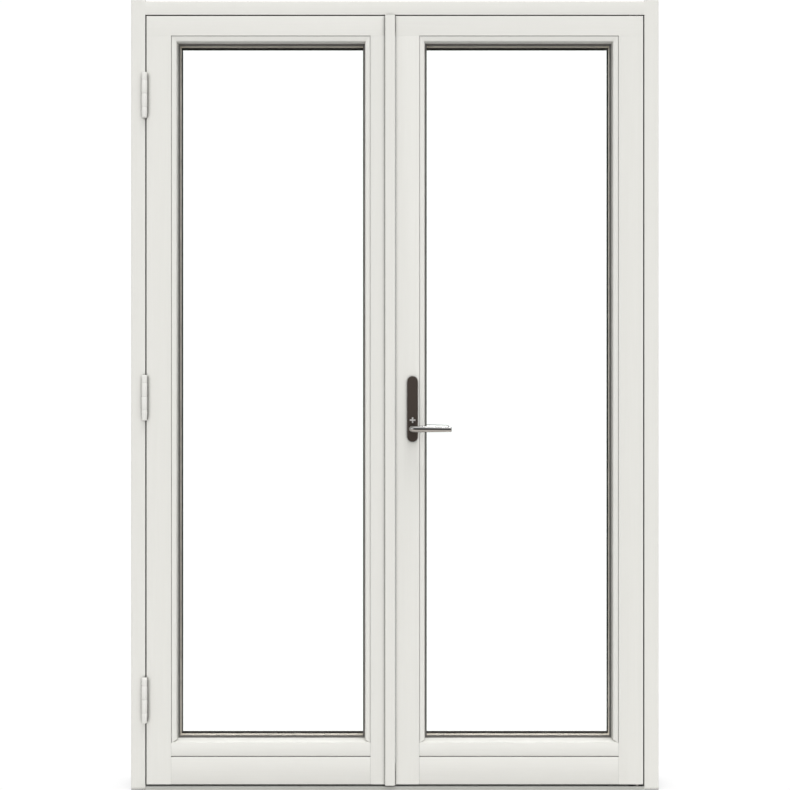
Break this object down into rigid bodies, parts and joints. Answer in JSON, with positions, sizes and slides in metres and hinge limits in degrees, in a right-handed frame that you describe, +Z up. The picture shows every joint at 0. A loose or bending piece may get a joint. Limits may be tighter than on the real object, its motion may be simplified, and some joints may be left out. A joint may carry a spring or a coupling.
{
  "type": "french doors",
  "caption": "Double glazed doors in a timber frame with threshold; both leaves swing outwards, one on barrel hinges and one on pivots, with lever handle and bolts.",
  "frame": {"origin": "middle of the frame's base, halfway through the frame's depth", "axes": "+X to the right seen from outside, +Y into the room, +Z up"},
  "size_m": [1.39, 0.196, 2.08],
  "materials": {
    "painted_wood": "satin white paint",
    "bead_paint": "satin white paint",
    "hinge_paint": "satin white powder coat",
    "sill_core": "matt composite",
    "threshold_metal": "satin anodised",
    "seal_rubber": "matt",
    "zinc_screw": "zinc plated",
    "white_plastic": "matt",
    "steel": "zinc plated",
    "brass_bush": "plain",
    "pane_glass": "clear",
    "warm_edge": "matt",
    "block_plastic": "matt",
    "bronze_plate": "dark bronze powder coat",
    "chrome_lever": "polished",
    "snib_plastic": "matt light grey"
  },
  "bodies": {
    "frame": {"left_jamb": "painted_wood", "right_jamb": "painted_wood", "head_rail": "painted_wood", "sill": "sill_core", "threshold_cap": "threshold_metal", "frame_seal": "seal_rubber", "corner_screws": "zinc_screw", "fixing_sleeves": "white_plastic", "hinge_low_frame_half": "hinge_paint", "hinge_mid_frame_half": "hinge_paint", "hinge_top_frame_half": "hinge_paint", "hinge_pins": "steel", "hinge_bottom_caps": "hinge_paint", "hinge_frame_screws": "zinc_screw", "pivot_top_bracket": "steel", "pivot_bottom_bracket": "steel", "head_keep": "steel"},
    "left_leaf": {"left_hinge_stile": "painted_wood", "left_meeting_stile": "painted_wood", "left_top_rail": "painted_wood", "left_bottom_rail": "painted_wood", "left_beads": "bead_paint", "left_panes": "pane_glass", "left_spacer": "warm_edge", "left_gaskets": "seal_rubber", "left_setting_blocks": "block_plastic", "cover_strip": "painted_wood", "meeting_seal": "seal_rubber", "hinge_low_leaf_half": "hinge_paint", "hinge_mid_leaf_half": "hinge_paint", "hinge_top_leaf_half": "hinge_paint", "hinge_top_caps": "hinge_paint", "hinge_leaf_screws": "zinc_screw", "flush_bolt_plates": "steel"},
    "top_flush_bolt": {"flush_bolt_top": "steel"},
    "bottom_flush_bolt": {"flush_bolt_bottom": "steel"},
    "right_leaf": {"right_hinge_stile": "painted_wood", "right_meeting_stile": "painted_wood", "right_top_rail": "painted_wood", "right_bottom_rail": "painted_wood", "right_beads": "bead_paint", "right_panes": "pane_glass", "right_spacer": "warm_edge", "right_gaskets": "seal_rubber", "right_setting_blocks": "block_plastic", "pivot_bushes": "brass_bush", "lock_faceplate": "steel", "lock_case": "steel", "outside_plate": "bronze_plate", "inside_plate": "bronze_plate", "plate_bolts": "bronze_plate"},
    "handle": {"pinion": "steel", "spindle": "steel", "outside_lever": "chrome_lever", "inside_lever": "chrome_lever"},
    "top_rod": {"rod_top": "steel"},
    "bottom_rod": {"rod_bottom": "steel"},
    "snib": {"snib_button": "snib_plastic"}
  },
  "joints": [
    {"name": "left_leaf_hinge", "type": "hinge", "parent": "frame", "child": "left_leaf", "pos_m": [-0.6575, -0.0655, 1.0365], "axis": [0, 0, -1], "range_deg": [0, 170]},
    {"name": "right_leaf_pivot", "type": "hinge", "parent": "frame", "child": "right_leaf", "pos_m": [0.639, -0.0495, 1], "axis": [0, 0, 1], "range_deg": [0, 110]},
    {"name": "handle_turn", "type": "hinge", "parent": "right_leaf", "child": "handle", "pos_m": [0.0465, -0.0235, 0.952], "axis": [0, 1, 0], "range_deg": [0, 90]},
    {"name": "top_rod_slide", "type": "slide", "parent": "right_leaf", "child": "top_rod", "axis": [0, 0, 1], "range_m": [0, 0.0119]},
    {"name": "bottom_rod_slide", "type": "slide", "parent": "right_leaf", "child": "bottom_rod", "axis": [0, 0, -1], "range_m": [0, 0.0119]},
    {"name": "top_flush_bolt_slide", "type": "slide", "parent": "left_leaf", "child": "top_flush_bolt", "axis": [0, 0, 1], "range_m": [0, 0.012]},
    {"name": "bottom_flush_bolt_slide", "type": "slide", "parent": "left_leaf", "child": "bottom_flush_bolt", "axis": [0, 0, -1], "range_m": [0, 0.012]},
    {"name": "snib_press", "type": "slide", "parent": "right_leaf", "child": "snib", "axis": [0, 1, 0], "range_m": [0, 0.002], "stiffness_N_per_m": 300, "springref_m": -0.001}
  ],
  "couplings": [
    {"joint": "top_rod_slide", "follows": "handle_turn", "m_per_rad": 0.0075},
    {"joint": "bottom_rod_slide", "follows": "handle_turn", "m_per_rad": 0.0075}
  ]
}
